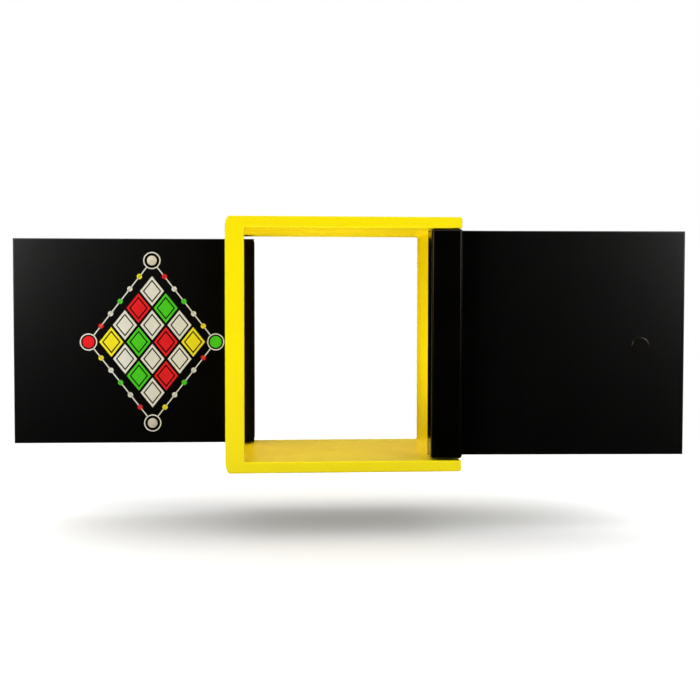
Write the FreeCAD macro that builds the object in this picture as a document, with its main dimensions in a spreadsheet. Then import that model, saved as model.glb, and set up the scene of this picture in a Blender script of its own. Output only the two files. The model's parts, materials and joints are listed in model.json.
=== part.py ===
import FreeCAD, Part
import os

import Sketcher

# A see-through box: a painted wooden frame, open at the front and the back, with two swing doors.
# Each door is a panel glued to a square bar that turns on pins between the boards.
# The frame stands on z = 0 with its centre line on the Z axis, and its front faces -Y.
# Half a turn about that line carries each wall and door to its twin, so a twin is built once more, turned.
# A door is drawn round its own pivot axis, swung right out, and then turned back by its ajar angle.

# Driving dimensions, in millimetres and degrees
SIZES = {
    # frame
    "frame_width": 189.0,
    "frame_depth": 158.0,
    "frame_height": 204.0,
    "board_thickness": 9.0,
    "wall_thickness": 15.0,
    "board_end_roundover": 3.0,
    "frame_edge_roundover": 1.0,
    # loose tongues glued in blind grooves between the walls and the boards
    "tongue_thickness": 5.0,
    "tongue_depth_in_board": 5.0,
    "tongue_depth_in_wall": 8.0,
    "tongue_inset": 20.0,
    "groove_end_gap": 0.5,
    "groove_glue_gap": 0.05,
    # doors
    "bar_size": 25.2,
    "bar_roundover": 2.4,
    "panel_thickness": 6.0,
    "panel_roundover": 1.0,
    "pull_overhang": 21.4,
    "door_gap": 0.4,
    "bar_proud": 1.0,
    "swing_clearance": 1.0,
    "front_top_clearance": 0.5,
    "back_top_clearance": 3.5,
    "front_ajar": 3.0,
    "back_ajar": 1.5,
    # pivots
    "pin_diameter": 6.0,
    "pin_depth_in_bar": 15.0,
    "pin_depth_in_board": 6.0,
    "pin_end_gap": 0.5,
    "pin_running_clearance": 0.05,
    "pin_seat_clearance": 0.02,
    "washer_diameter": 14.5,
    "washer_thickness": 1.2,
    "washer_bore_clearance": 0.2,
    "washer_play": 0.2,
    # magnetic catches
    "catch_diameter": 15.0,
    "catch_thickness": 3.0,
    "catch_ring_gap": 0.2,
    "catch_chamfer": 0.4,
    "catch_from_free_edge": 36.0,
    "catch_height": 100.0,
    "keeper_diameter": 8.0,
    "keeper_thickness": 5.0,
    "keeper_cover": 2.0,
    "keeper_from_inner_face": 6.0,
    "keeper_glue_gap": 0.05,
    # bright rivets through the back door, each set over a washer on the inner face
    "rivet_head_diameter": 9.0,
    "rivet_head_rise": 1.0,
    "rivet_head_chamfer": 0.5,
    "rivet_shank_diameter": 4.0,
    "rivet_tail_diameter": 5.6,
    "rivet_tail_rise": 0.8,
    "rivet_washer_diameter": 9.0,
    "rivet_washer_thickness": 0.8,
    "rivet_clearance": 0.05,
    "rivet_from_hinge_edge": 90.0,
    "rivet_from_door_top": 19.4,
    "rivet_from_door_bottom": 17.6,
}

# Lengths that follow from the driving dimensions
HALF_WIDTH = "(sizes.frame_width / 2)"
HALF_DEPTH = "(sizes.frame_depth / 2)"
INNER_HEIGHT = "(sizes.frame_height - 2 * sizes.board_thickness)"
CEILING = "(sizes.frame_height - sizes.board_thickness)"
HALF_BAR = "(sizes.bar_size / 2)"
PIVOT_X = f"({HALF_WIDTH} - {HALF_BAR} + sizes.bar_proud)"
PIVOT_Y = f"({HALF_DEPTH} - {HALF_BAR} + sizes.door_gap)"
PANEL_OUTER_FACE = f"({HALF_BAR} + sizes.panel_thickness)"
PANEL_FREE_EDGE = f"({PIVOT_X} + {HALF_WIDTH} + sizes.pull_overhang)"
SWEPT_RADIUS = f"hypot({HALF_BAR}; {PANEL_OUTER_FACE})"
DOOR_BOTTOM = "(sizes.board_thickness + sizes.washer_thickness + sizes.washer_play)"
CATCH_X = f"({PANEL_FREE_EDGE} - sizes.catch_from_free_edge)"
RIVET_X = f"(sizes.rivet_from_hinge_edge - {HALF_BAR})"

# The left wall's place: its front end is flush with the boards, its other end clears the back door's swing
WALL_OUTER_X = f"(-{HALF_WIDTH})"
WALL_INNER_X = f"(-{HALF_WIDTH} + sizes.wall_thickness)"
WALL_MIDDLE_X = f"(-{HALF_WIDTH} + sizes.wall_thickness / 2)"
WALL_END_Y = f"({PIVOT_Y} - {SWEPT_RADIUS} - sizes.swing_clearance)"
KEEPER_X = f"({WALL_INNER_X} - sizes.keeper_from_inner_face)"
TONGUE_LEFT_X = f"({WALL_MIDDLE_X} - sizes.tongue_thickness / 2)"
TONGUE_RIGHT_X = f"({WALL_MIDDLE_X} + sizes.tongue_thickness / 2)"
TONGUE_FRONT_Y = f"(-{HALF_DEPTH} + sizes.tongue_inset)"
TONGUE_BACK_Y = f"({WALL_END_Y} - sizes.tongue_inset)"
GROOVE_SIDES = (
    f"({TONGUE_LEFT_X} - sizes.groove_glue_gap)",
    f"({TONGUE_RIGHT_X} + sizes.groove_glue_gap)",
    f"({TONGUE_FRONT_Y} - sizes.groove_end_gap)",
    f"({TONGUE_BACK_Y} + sizes.groove_end_gap)",
)
TWIN_GROOVE_SIDES = tuple(f"-{GROOVE_SIDES[side]}" for side in (1, 0, 3, 2))

NO_OFFSET = "0"
TOLERANCE = 0.001

doc = FreeCAD.newDocument("see_through_box")
sheet = doc.addObject("Spreadsheet::Sheet", "sizes")
for row, (alias, number) in enumerate(SIZES.items(), 1):
    sheet.set(f"A{row}", alias)
    sheet.set(f"B{row}", str(number))
    sheet.setAlias(f"B{row}", alias)
doc.recompute()

pieces = []


def value(expression):
    """Number that an expression of the sheet's sizes gives."""
    return float(sheet.evalExpression(expression))


def new_piece(label, x=NO_OFFSET, y=NO_OFFSET, z=NO_OFFSET, turn=NO_OFFSET):
    """Empty body at a bound place, turned about the vertical."""
    body = doc.addObject("PartDesign::Body", label)
    body.Label = label
    for axis, expression in (("x", x), ("y", y), ("z", z)):
        body.setExpression(f"Placement.Base.{axis}", expression)
    body.setExpression("Placement.Rotation.Angle", turn)
    pieces.append(body)
    return body


def new_sketch(body, plane_role, offset):
    """Empty sketch on one of the body's origin planes, moved along the plane's normal."""
    sketch = body.newObject("Sketcher::SketchObject", "sketch")
    plane = next(item for item in body.Origin.OriginFeatures if item.Role == plane_role)
    sketch.AttachmentSupport = [(plane, "")]
    sketch.MapMode = "FlatFace"
    sketch.setExpression("AttachmentOffset.Base.z", offset)
    return sketch


def bind(sketch, name, expression, kind, *geometry):
    """Dimension in a sketch that follows an expression of the sheet's sizes."""
    index = sketch.addConstraint(Sketcher.Constraint(kind, *geometry, value(expression)))
    sketch.renameConstraint(index, name)
    sketch.setExpression(f"Constraints.{name}", expression)


def draw_rectangle(sketch, left, right, bottom, top):
    """Rectangle whose four sides keep their own distances from the sketch's origin."""
    x0, x1, y0, y1 = (value(side) for side in (left, right, bottom, top))
    corners = [FreeCAD.Vector(x, y, 0) for x, y in ((x0, y0), (x1, y0), (x1, y1), (x0, y1))]
    for side in range(4):
        sketch.addGeometry(Part.LineSegment(corners[side], corners[(side + 1) % 4]), False)
    for side in range(4):
        sketch.addConstraint(Sketcher.Constraint("Coincident", side, 2, (side + 1) % 4, 1))
        sketch.addConstraint(Sketcher.Constraint("Vertical" if side % 2 else "Horizontal", side))
    bind(sketch, "left", left, "DistanceX", -1, 1, 0, 1)
    bind(sketch, "right", right, "DistanceX", -1, 1, 1, 1)
    bind(sketch, "bottom", bottom, "DistanceY", -1, 1, 0, 1)
    bind(sketch, "top", top, "DistanceY", -1, 1, 2, 1)


def draw_circle(sketch, x, y, diameter):
    """Circle with its centre and its diameter bound to the sheet."""
    centre = FreeCAD.Vector(value(x), value(y), 0)
    circle = sketch.addGeometry(Part.Circle(centre, FreeCAD.Vector(0, 0, 1), value(diameter) / 2), False)
    bind(sketch, f"across_{circle}", x, "DistanceX", -1, 1, circle, 3)
    bind(sketch, f"up_{circle}", y, "DistanceY", -1, 1, circle, 3)
    bind(sketch, f"diameter_{circle}", diameter, "Diameter", circle)


def pad(body, sketch, length):
    """Solid raised from a sketch along its normal."""
    feature = body.newObject("PartDesign::Pad", "pad")
    feature.Profile = sketch
    feature.setExpression("Length", length)
    doc.recompute()


def pocket(body, sketch, depth, along_normal=False):
    """Blind cut from a sketch, against its normal unless told otherwise."""
    volume_before = body.Shape.Volume
    feature = body.newObject("PartDesign::Pocket", "pocket")
    feature.Profile = sketch
    feature.Reversed = along_normal
    feature.setExpression("Length", depth)
    doc.recompute()
    if body.Shape.Volume > volume_before - TOLERANCE:
        raise RuntimeError(f"a pocket in {body.Label} cuts nothing")


def dress_edges(body, kind, property_name, amount, wanted):
    """Fillet or chamfer on the edges of the body so far that a test picks."""
    base = body.Tip
    names = [f"Edge{number}" for number, edge in enumerate(base.Shape.Edges, 1) if wanted(edge)]
    feature = body.newObject(kind, "edges")
    feature.Base = (base, names)
    feature.setExpression(property_name, amount)
    doc.recompute()


def round_edges(body, radius, wanted):
    """Roundover on the edges that a test picks."""
    dress_edges(body, "PartDesign::Fillet", "Radius", radius, wanted)


def chamfer_edges(body, size, wanted):
    """Chamfer on the edges that a test picks."""
    dress_edges(body, "PartDesign::Chamfer", "Size", size, wanted)


def lies_at(edge, axis, coordinate):
    """Whether a whole edge keeps one coordinate."""
    box = edge.BoundBox
    ends = (getattr(box, f"{axis}Min"), getattr(box, f"{axis}Max"))
    return all(abs(end - coordinate) < TOLERANCE for end in ends)


def runs_along(edge, axis):
    """Whether an edge is a straight one along an axis."""
    box = edge.BoundBox
    return all(getattr(box, f"{other}Length") < TOLERANCE for other in "XYZ" if other != axis)


def make_board(label, height, outer_z, inner_z, holes_up):
    """Bottom or top board, with blind holes for the pivot pins and grooves for the walls' tongues."""
    body = new_piece(label, z=height)
    outline = new_sketch(body, "XY_Plane", NO_OFFSET)
    draw_rectangle(outline, f"-{HALF_WIDTH}", HALF_WIDTH, f"-{HALF_DEPTH}", HALF_DEPTH)
    pad(body, outline, "sizes.board_thickness")
    round_edges(
        body,
        "sizes.board_end_roundover",
        lambda edge: runs_along(edge, "Y") and lies_at(edge, "Z", value(outer_z)),
    )
    faces_y = (value(HALF_DEPTH), -value(HALF_DEPTH))
    round_edges(
        body,
        "sizes.frame_edge_roundover",
        lambda edge: any(lies_at(edge, "Y", y) for y in faces_y) and not lies_at(edge, "Z", value(inner_z)),
    )
    pivot_holes = new_sketch(body, "XY_Plane", inner_z)
    pin_bore = "sizes.pin_diameter + 2 * sizes.pin_running_clearance"
    draw_circle(pivot_holes, PIVOT_X, f"-{PIVOT_Y}", pin_bore)
    draw_circle(pivot_holes, f"-{PIVOT_X}", PIVOT_Y, pin_bore)
    pocket(body, pivot_holes, "sizes.pin_depth_in_board + sizes.pin_end_gap", holes_up)
    for sides in (GROOVE_SIDES, TWIN_GROOVE_SIDES):
        groove = new_sketch(body, "XY_Plane", inner_z)
        draw_rectangle(groove, *sides)
        pocket(body, groove, "sizes.tongue_depth_in_board + sizes.groove_end_gap", holes_up)


def make_wall(side, turn):
    """Wall between the boards, cut short at its hinge end, with its tongues, catch keeper and filler plug."""
    wall = new_piece(f"{side}_wall", turn=turn)
    outline = new_sketch(wall, "XY_Plane", "sizes.board_thickness")
    draw_rectangle(outline, WALL_OUTER_X, WALL_INNER_X, f"-{HALF_DEPTH}", WALL_END_Y)
    pad(wall, outline, INNER_HEIGHT)
    round_edges(wall, "sizes.frame_edge_roundover", lambda edge: runs_along(edge, "Z"))
    for end_z, upwards in (("sizes.board_thickness", True), (CEILING, False)):
        groove = new_sketch(wall, "XY_Plane", end_z)
        draw_rectangle(groove, *GROOVE_SIDES)
        pocket(wall, groove, "sizes.tongue_depth_in_wall + sizes.groove_end_gap", upwards)
    keeper_hole = new_sketch(wall, "XZ_Plane", HALF_DEPTH)
    keeper_bore = "sizes.keeper_diameter + 2 * sizes.keeper_glue_gap"
    draw_circle(keeper_hole, KEEPER_X, "sizes.catch_height", keeper_bore)
    pocket(wall, keeper_hole, "sizes.keeper_thickness + sizes.keeper_cover")

    tongues = new_piece(f"{side}_wall_tongues", turn=turn)
    lower_start = "sizes.board_thickness - sizes.tongue_depth_in_board"
    upper_start = f"{CEILING} - sizes.tongue_depth_in_wall"
    for start_z in (lower_start, upper_start):
        outline = new_sketch(tongues, "XY_Plane", start_z)
        draw_rectangle(outline, TONGUE_LEFT_X, TONGUE_RIGHT_X, TONGUE_FRONT_Y, TONGUE_BACK_Y)
        pad(tongues, outline, "sizes.tongue_depth_in_board + sizes.tongue_depth_in_wall")

    keeper_face = f"{HALF_DEPTH} - sizes.keeper_cover"
    for name, back_face, thickness in (
        ("keeper", f"{keeper_face} - sizes.keeper_thickness", "sizes.keeper_thickness"),
        ("plug", keeper_face, "sizes.keeper_cover"),
    ):
        disc = new_piece(f"{side}_wall_{name}", turn=turn)
        outline = new_sketch(disc, "XZ_Plane", back_face)
        draw_circle(outline, KEEPER_X, "sizes.catch_height", "sizes.keeper_diameter")
        pad(disc, outline, thickness)


def make_door(name, pivot_x, pivot_y, turn, top_clearance, rivet_heights):
    """Door swung out: its bar, panel, pins, washer and catch disc, and the rivets that it may have."""
    place = {"x": pivot_x, "y": pivot_y, "turn": turn}
    height = f"({INNER_HEIGHT} - sizes.washer_thickness - sizes.washer_play - {top_clearance})"
    door_top = f"({DOOR_BOTTOM} + {height})"

    bar = new_piece(f"{name}_pivot_bar", **place)
    section = new_sketch(bar, "XY_Plane", DOOR_BOTTOM)
    draw_rectangle(section, f"-{HALF_BAR}", HALF_BAR, f"-{HALF_BAR}", HALF_BAR)
    pad(bar, section, height)
    round_edges(bar, "sizes.bar_roundover", lambda edge: not lies_at(edge, "Y", value(HALF_BAR)))
    for end_z, upwards in ((DOOR_BOTTOM, True), (door_top, False)):
        hole = new_sketch(bar, "XY_Plane", end_z)
        draw_circle(hole, NO_OFFSET, NO_OFFSET, "sizes.pin_diameter + 2 * sizes.pin_seat_clearance")
        pocket(bar, hole, "sizes.pin_depth_in_bar", upwards)

    panel = new_piece(f"{name}_door_panel", **place)
    outline = new_sketch(panel, "XY_Plane", DOOR_BOTTOM)
    draw_rectangle(outline, f"-{HALF_BAR}", PANEL_FREE_EDGE, HALF_BAR, PANEL_OUTER_FACE)
    pad(panel, outline, height)
    round_edges(panel, "sizes.panel_roundover", lambda edge: not runs_along(edge, "Y"))
    catch_hole = new_sketch(panel, "XZ_Plane", f"-{HALF_BAR}")
    draw_circle(catch_hole, CATCH_X, "sizes.catch_height", "sizes.catch_diameter + 2 * sizes.catch_ring_gap")
    pocket(panel, catch_hole, "sizes.catch_thickness")

    in_board, in_bar = "sizes.pin_depth_in_board", "sizes.pin_depth_in_bar"
    pin_ends = {
        "lower": (f"sizes.board_thickness - {in_board}", f"{DOOR_BOTTOM} + {in_bar}"),
        "upper": (f"{door_top} - {in_bar}", f"{CEILING} + {in_board}"),
    }
    for end, (start_z, end_z) in pin_ends.items():
        pin = new_piece(f"{name}_{end}_pin", **place)
        section = new_sketch(pin, "XY_Plane", start_z)
        draw_circle(section, NO_OFFSET, NO_OFFSET, "sizes.pin_diameter")
        pad(pin, section, f"{end_z} - ({start_z})")

    washer = new_piece(f"{name}_washer", **place)
    ring = new_sketch(washer, "XY_Plane", "sizes.board_thickness")
    draw_circle(ring, NO_OFFSET, NO_OFFSET, "sizes.washer_diameter")
    draw_circle(ring, NO_OFFSET, NO_OFFSET, "sizes.pin_diameter + 2 * sizes.washer_bore_clearance")
    pad(washer, ring, "sizes.washer_thickness")

    catch = new_piece(f"{name}_catch_disc", **place)
    outline = new_sketch(catch, "XZ_Plane", f"-({HALF_BAR} + sizes.catch_thickness)")
    draw_circle(outline, CATCH_X, "sizes.catch_height", "sizes.catch_diameter")
    pad(catch, outline, "sizes.catch_thickness")
    chamfer_edges(catch, "sizes.catch_chamfer", lambda edge: lies_at(edge, "Y", value(HALF_BAR)))

    head_top = f"({PANEL_OUTER_FACE} + sizes.rivet_head_rise)"
    washer_face = f"({HALF_BAR} - sizes.rivet_washer_thickness)"
    shank_bore = "sizes.rivet_shank_diameter + 2 * sizes.rivet_clearance"
    for label, rivet_height in rivet_heights(door_top).items():
        rivet_hole = new_sketch(panel, "XZ_Plane", f"-{PANEL_OUTER_FACE}")
        draw_circle(rivet_hole, RIVET_X, rivet_height, shank_bore)
        pocket(panel, rivet_hole, "sizes.panel_thickness", along_normal=True)
        rivet = new_piece(label, **place)
        for face_y, length, diameter in (
            (head_top, "sizes.rivet_head_rise", "sizes.rivet_head_diameter"),
            (PANEL_OUTER_FACE, f"{PANEL_OUTER_FACE} - {washer_face}", "sizes.rivet_shank_diameter"),
            (washer_face, "sizes.rivet_tail_rise", "sizes.rivet_tail_diameter"),
        ):
            outline = new_sketch(rivet, "XZ_Plane", f"-{face_y}")
            draw_circle(outline, RIVET_X, rivet_height, diameter)
            pad(rivet, outline, length)
        chamfer_edges(rivet, "sizes.rivet_head_chamfer", lambda edge: lies_at(edge, "Y", value(head_top)))
        rivet_washer = new_piece(f"{label}_washer", **place)
        ring = new_sketch(rivet_washer, "XZ_Plane", f"-{HALF_BAR}")
        draw_circle(ring, RIVET_X, rivet_height, "sizes.rivet_washer_diameter")
        draw_circle(ring, RIVET_X, rivet_height, shank_bore)
        pad(rivet_washer, ring, "sizes.rivet_washer_thickness")


def no_rivets(door_top):
    """The front door has none."""
    return {}


def rivet_pair(door_top):
    """The back door's rivets, one near each end of the panel."""
    return {
        "upper_rivet": f"({door_top} - sizes.rivet_from_door_top)",
        "lower_rivet": f"({DOOR_BOTTOM} + sizes.rivet_from_door_bottom)",
    }


make_board("bottom_board", NO_OFFSET, NO_OFFSET, "sizes.board_thickness", False)
make_board("top_board", CEILING, "sizes.board_thickness", NO_OFFSET, True)
make_wall("left", NO_OFFSET)
make_wall("right", "180")
make_door("front", PIVOT_X, f"-{PIVOT_Y}", "-sizes.front_ajar", "sizes.front_top_clearance", no_rivets)
make_door("back", f"-{PIVOT_X}", PIVOT_Y, "180 - sizes.back_ajar", "sizes.back_top_clearance", rivet_pair)
doc.recompute()

for item in doc.Objects:
    if "Invalid" in item.State or "Error" in item.State:
        raise RuntimeError(f"{item.Label} failed: {item.State}")
for piece in pieces:
    if piece.Shape.isNull() or not piece.Shape.isValid():
        raise RuntimeError(f"{piece.Label} has no sound solid")

os.makedirs("parts", exist_ok=True)
for piece in pieces:
    piece.Shape.exportStep(f"parts/{piece.Label}.step")
    print(f"{piece.Label}: {len(piece.Shape.Solids)} solids, {piece.Shape.Volume:.1f} mm3")
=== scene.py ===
"""Looks of a see-through stage box: a painted frame with a lacquered swing door at the front and the back."""
import json
import logging
import math
from dataclasses import dataclass
from enum import Enum
from typing import Callable, Mapping, Optional, Sequence, Union

import bmesh
import bpy
import numpy as np
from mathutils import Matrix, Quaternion, Vector


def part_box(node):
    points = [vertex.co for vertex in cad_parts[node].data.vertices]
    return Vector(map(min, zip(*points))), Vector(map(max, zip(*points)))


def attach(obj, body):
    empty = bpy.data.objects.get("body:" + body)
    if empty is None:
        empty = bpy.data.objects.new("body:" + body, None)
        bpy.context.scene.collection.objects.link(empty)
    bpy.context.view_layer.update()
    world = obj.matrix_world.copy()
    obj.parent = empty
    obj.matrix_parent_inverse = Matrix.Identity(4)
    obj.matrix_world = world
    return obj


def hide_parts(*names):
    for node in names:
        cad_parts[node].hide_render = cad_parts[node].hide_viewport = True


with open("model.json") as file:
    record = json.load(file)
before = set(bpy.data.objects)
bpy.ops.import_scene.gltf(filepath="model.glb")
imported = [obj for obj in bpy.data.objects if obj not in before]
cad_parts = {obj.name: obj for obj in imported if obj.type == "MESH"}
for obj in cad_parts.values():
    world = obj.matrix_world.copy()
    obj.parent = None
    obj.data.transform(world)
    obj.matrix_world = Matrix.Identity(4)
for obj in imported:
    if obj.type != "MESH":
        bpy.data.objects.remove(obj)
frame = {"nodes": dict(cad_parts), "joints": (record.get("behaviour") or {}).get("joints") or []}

log = logging.getLogger("see_through_box")

Colour = tuple[float, float, float]
Field = Callable[[np.ndarray], np.ndarray]
Socket = bpy.types.NodeSocket
Inputs = Mapping[Union[str, int], object]

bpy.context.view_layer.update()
MM = 0.001


# Meshes

@dataclass(frozen=True)
class Shell:
    """Points and four-sided faces of a closed surface, in metres."""

    points: np.ndarray
    faces: np.ndarray

    def make_object(self, name: str, caps: Sequence[np.ndarray] = ()) -> bpy.types.Object:
        """Puts the surface into a smooth-shaded object.

        Args:
            name: Name of the new object.
            caps: Rings of point numbers that close the ends of the surface.

        Returns:
            The object, linked to the scene at the origin.
        """
        mesh = bpy.data.meshes.new(name)
        polygons = self.faces.tolist() + [cap.tolist() for cap in caps]
        mesh.from_pydata(self.points.tolist(), [], polygons)
        mesh.shade_smooth()
        return link_mesh(name, mesh)


def link_mesh(name: str, mesh: bpy.types.Mesh) -> bpy.types.Object:
    """Adds a mesh to the scene as an object with outward faces.

    Args:
        name: Name of the new object.
        mesh: Closed mesh.

    Returns:
        The new object.
    """
    sheet = bmesh.new()
    sheet.from_mesh(mesh)
    bmesh.ops.recalc_face_normals(sheet, faces=sheet.faces)
    sheet.to_mesh(mesh)
    sheet.free()
    item = bpy.data.objects.new(name, mesh)
    bpy.context.scene.collection.objects.link(item)
    return item


def block_skin(lines: Sequence[np.ndarray], full: np.ndarray) -> Shell:
    """Skin of a solid marked on a grid of cells: every face between a full and an empty cell.

    Args:
        lines: Grid lines along x, y and z.
        full: Whether each cell between those lines is part of the solid.

    Returns:
        The skin, with shared points.
    """
    shape = tuple(len(line) for line in lines)
    padded = np.pad(full, 1).astype(np.int8)
    quads = []
    for axis in range(3):
        step = np.diff(padded, axis=axis)
        across, up = (axis + 1) % 3, (axis + 2) % 3
        for change in (-1, 1):
            corner = np.argwhere(step == change)
            corner[:, [across, up]] -= 1
            turns = ((0, 0), (1, 0), (1, 1), (0, 1))
            ring = np.repeat(corner[:, None, :], 4, axis=1)
            ring[:, :, across] += np.array([turn[0] for turn in turns])
            ring[:, :, up] += np.array([turn[1] for turn in turns])
            quads.append(np.ravel_multi_index(np.moveaxis(ring, -1, 0), shape)[:, ::-change])
    used, faces = np.unique(np.concatenate(quads), return_inverse=True)
    places = np.stack(np.unravel_index(used, shape), axis=-1)
    points = np.stack([lines[axis][places[:, axis]] for axis in range(3)], axis=-1)
    return Shell(points, faces.reshape(-1, 4))


def settle(points: np.ndarray, distance: Field, rounds: int = 14) -> np.ndarray:
    """Slides points down the slope of a distance field until they lie on its zero level.

    Args:
        points: Starting points near the zero level.
        distance: Signed distance of points from the wanted surface.
        rounds: Newton steps.

    Returns:
        The moved points.
    """
    reach, flattest = 1e-6, 0.25
    for _ in range(rounds):
        rises = [distance(points + step) - distance(points - step) for step in reach * np.eye(3)]
        slope = np.stack(rises, axis=-1) / (2 * reach)
        steep = np.maximum((slope**2).sum(axis=-1), flattest)
        points = points - (distance(points) / steep)[:, None] * slope
    return points


def eased_block(points: np.ndarray, low: np.ndarray, high: np.ndarray, radius: float) -> np.ndarray:
    """Signed distance from a block whose edges are all rounded over.

    Args:
        points: Places to measure.
        low: Lowest corner of the block.
        high: Highest corner of the block.
        radius: Roundover.

    Returns:
        Distance per point, negative inside.
    """
    beyond = np.abs(points - (low + high) / 2) - (high - low) / 2 + radius
    outside = np.linalg.norm(np.maximum(beyond, 0), axis=-1)
    return outside + np.minimum(beyond.max(axis=-1), 0) - radius


def filleted_union(first: np.ndarray, second: np.ndarray, fillet: float) -> np.ndarray:
    """Distance from two solids together, with paint rounding the inner corner between them.

    Args:
        first: Distances from one solid.
        second: Distances from the other.
        fillet: Width of the rounded corner.

    Returns:
        Distances from both.
    """
    share = np.clip(0.5 + 0.5 * (second - first) / fillet, 0, 1)
    return second + (first - second) * share - fillet * share * (1 - share)


def revolve(profile: np.ndarray, steps: int, looped: bool) -> tuple[Shell, list[np.ndarray]]:
    """A profile of radius and height carried round the vertical: point (i, j) is profile point i at turn j.

    Args:
        profile: Radius and height per row.
        steps: Points round the axis.
        looped: Whether the profile closes on itself, as a ring's does.

    Returns:
        The surface, and the rings that close its two ends if it isn't looped.
    """
    turn = np.linspace(0, 2 * np.pi, steps, endpoint=False)
    radius, height = profile[:, :1], profile[:, 1:]
    level = np.broadcast_to(height, (len(profile), steps))
    points = np.stack([radius * np.cos(turn), radius * np.sin(turn), level], -1)
    number = np.arange(len(profile) * steps).reshape(len(profile), steps)
    rows = np.vstack([number, number[:1]]) if looped else number
    quads = np.stack([rows[:-1], np.roll(rows, -1, 1)[:-1], np.roll(rows, -1, 1)[1:], rows[1:]], -1)
    caps = [] if looped else [number[0], number[-1]]
    return Shell(points.reshape(-1, 3), quads.reshape(-1, 4)), caps


def arc(centre: tuple[float, float], radius: float, start: float, end: float, steps: int = 9) -> np.ndarray:
    """Points of a circular arc in the plane of a profile.

    Args:
        centre: Middle of the arc.
        radius: Radius.
        start: First angle in degrees, from the radius axis.
        end: Last angle.
        steps: Number of points.

    Returns:
        One point per row.
    """
    angle = np.radians(np.linspace(start, end, steps))
    return np.stack([centre[0] + radius * np.cos(angle), centre[1] + radius * np.sin(angle)], axis=-1)


# Finishes

class Tree:
    """Short hand for adding and linking the nodes of one material, world or node group."""

    def __init__(self, tree: bpy.types.NodeTree) -> None:
        """Starts from an empty tree."""
        self.tree = tree
        tree.nodes.clear()

    def link(self, source: Socket, target: Socket) -> None:
        """Joins two sockets."""
        self.tree.links.new(source, target)

    def add(self, kind: str, inputs: Optional[Inputs] = None, **settings: object) -> bpy.types.Node:
        """Adds a node.

        Args:
            kind: Type of node, without the part of the name that all shader nodes share.
            inputs: Value or linked socket per input.
            settings: Properties of the node.

        Returns:
            The new node.
        """
        node = self.tree.nodes.new(kind if kind.startswith("NodeGroup") else f"ShaderNode{kind}")
        for name, setting in settings.items():
            setattr(node, name, setting)
        for name, source in (inputs or {}).items():
            if isinstance(source, Socket):
                self.link(source, node.inputs[name])
            else:
                node.inputs[name].default_value = source
        return node

    def math(self, operation: str, first: object, second: object = 0.0, clamp: bool = False) -> Socket:
        """Adds one step of arithmetic.

        Args:
            operation: Name of the operation.
            first: Value or socket.
            second: Value or socket.
            clamp: Whether the result stays between 0 and 1.

        Returns:
            The result.
        """
        return self.add("Math", {0: first, 1: second}, operation=operation, use_clamp=clamp).outputs[0]

    def spread(
        self, source: Socket, low: float, high: float, to_low: float = 0.0, to_high: float = 1.0
    ) -> Socket:
        """Carries one range of values smoothly to another.

        Args:
            source: Value.
            low: Value that gives to_low.
            high: Value that gives to_high.
            to_low: Result at low and past it.
            to_high: Result at high and past it.

        Returns:
            The result.
        """
        ends = {0: source, 1: low, 2: high, 3: to_low, 4: to_high}
        return self.add("MapRange", ends, interpolation_type="SMOOTHSTEP").outputs[0]

    def blend(self, share: object, first: object, second: object) -> Socket:
        """Mixes two colours.

        Args:
            share: How much of the second colour shows.
            first: Colour or socket.
            second: Colour or socket.

        Returns:
            The mixed colour.
        """
        node = self.add("Mix", {0: share}, data_type="RGBA")
        for socket, source in ((node.inputs[6], first), (node.inputs[7], second)):
            if isinstance(source, Socket):
                self.link(source, socket)
            else:
                socket.default_value = (*source, 1.0)
        return node.outputs[2]

    def noise(self, place: Socket, scale: object, detail: float, roughness: float = 0.5) -> Socket:
        """Adds a cloud of noise.

        Args:
            place: Coordinates.
            scale: How fine it is, a value or socket.
            detail: Number of finer layers.
            roughness: Weight of each finer layer.

        Returns:
            The noise.
        """
        inputs = {"Vector": place, "Scale": scale, "Detail": detail, "Roughness": roughness}
        return self.add("TexNoise", inputs).outputs[0]

    def bump(self, height: Socket, relief: float, strength: float) -> Socket:
        """Turns a height into a normal.

        Args:
            height: The height, from 0 to 1.
            relief: Depth that a height of 1 stands for.
            strength: Share of the bump that shows.

        Returns:
            The normal.
        """
        inputs = {"Height": height, "Distance": relief, "Strength": strength}
        return self.add("Bump", inputs).outputs[0]

    def place(self, group: bpy.types.NodeTree, inputs: Inputs) -> bpy.types.Node:
        """Adds a node group with its own values.

        Args:
            group: The group.
            inputs: Value or linked socket per input.

        Returns:
            The group node.
        """
        return self.add("Group", inputs, node_tree=group)


def new_group(
    name: str, takes: Mapping[str, str], gives: Mapping[str, str]
) -> tuple[Tree, dict[str, Socket], bpy.types.Node]:
    """Starts a shader node group with named sockets.

    Args:
        name: Name of the group.
        takes: Socket type per input.
        gives: Socket type per output.

    Returns:
        The group's tree, its inputs by name, and its output node.
    """
    group = bpy.data.node_groups.new(name, "ShaderNodeTree")
    for way, sockets in (("INPUT", takes), ("OUTPUT", gives)):
        for label, kind in sockets.items():
            group.interface.new_socket(label, in_out=way, socket_type=f"NodeSocket{kind}")
    tree = Tree(group)
    entry = tree.add("NodeGroupInput")
    leave = tree.add("NodeGroupOutput")
    return tree, {label: entry.outputs[label] for label in takes}, leave


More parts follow.
